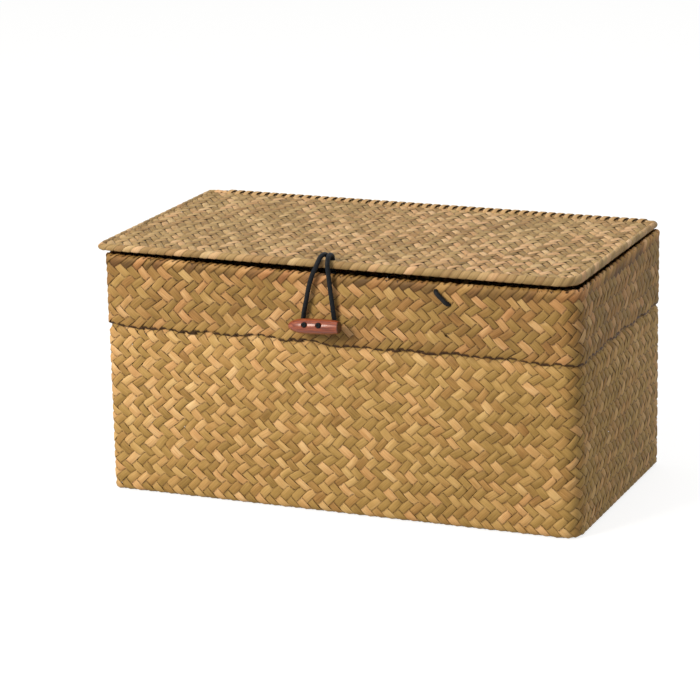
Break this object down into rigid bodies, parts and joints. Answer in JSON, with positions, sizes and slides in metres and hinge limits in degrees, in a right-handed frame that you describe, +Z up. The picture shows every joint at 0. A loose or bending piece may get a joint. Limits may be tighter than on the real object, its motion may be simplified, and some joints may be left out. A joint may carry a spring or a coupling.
{
  "type": "woven lidded box",
  "caption": "Rectangular plaited seagrass box with a laced flat lid and an elastic cord loop that hooks behind a wooden toggle.",
  "frame": {"origin": "middle of the underside, on the surface that the box stands on", "axes": "+X along the length, to the right seen from the front; +Y towards the laced back; +Z up"},
  "size_m": [0.3839, 0.2242, 0.2015],
  "materials": {
    "seagrass_wall": "dried seagrass strips in 2/2 twill, satin",
    "seagrass_cuff": "dried seagrass strips in 2/2 twill, satin",
    "seagrass_folds": "dried seagrass strips folded one over the next",
    "seagrass_lid": "dried seagrass strips in 2/2 twill, greyer and matt",
    "seagrass_lacing": "single dried seagrass strand",
    "elastic_cord": "braided cover over elastic, matt black",
    "black_cord": "braided cord, matt black",
    "toggle_wood": "stained red brown, clear gloss"
  },
  "bodies": {
    "basket": {"plaited_body": "seagrass_wall", "folded_cuff": "seagrass_cuff", "rim_folds": "seagrass_folds", "front_stitch": "black_cord", "stitch_knot_upper": "black_cord", "stitch_knot_lower": "black_cord", "hinge_lacing": "seagrass_lacing"},
    "lid": {"lid_panel": "seagrass_lid", "lid_border": "seagrass_folds", "loop_knot": "elastic_cord"},
    "loop": {"latch_loop": "elastic_cord"},
    "toggle": {"toggle": "toggle_wood", "toggle_cord": "black_cord", "toggle_knot_left": "black_cord", "toggle_knot_right": "black_cord"}
  },
  "joints": [
    {"name": "lid_hinge", "type": "hinge", "parent": "basket", "child": "lid", "pos_m": [0, 0.10245, 0.19055], "axis": [-1, 0, 0], "range_deg": [0, 180], "deforming": ["hinge_lacing"]},
    {"name": "loop_swing", "type": "hinge", "parent": "lid", "child": "loop", "pos_m": [-0.0064, -0.09105, 0.1965], "axis": [-1, 0, 0], "range_deg": [0, 235], "deforming": ["latch_loop"]},
    {"name": "toggle_turn", "type": "hinge", "parent": "basket", "child": "toggle", "pos_m": [-0.0114, -0.101, 0.14888], "axis": [0, 1, 0], "range_deg": [-90, 90]}
  ]
}
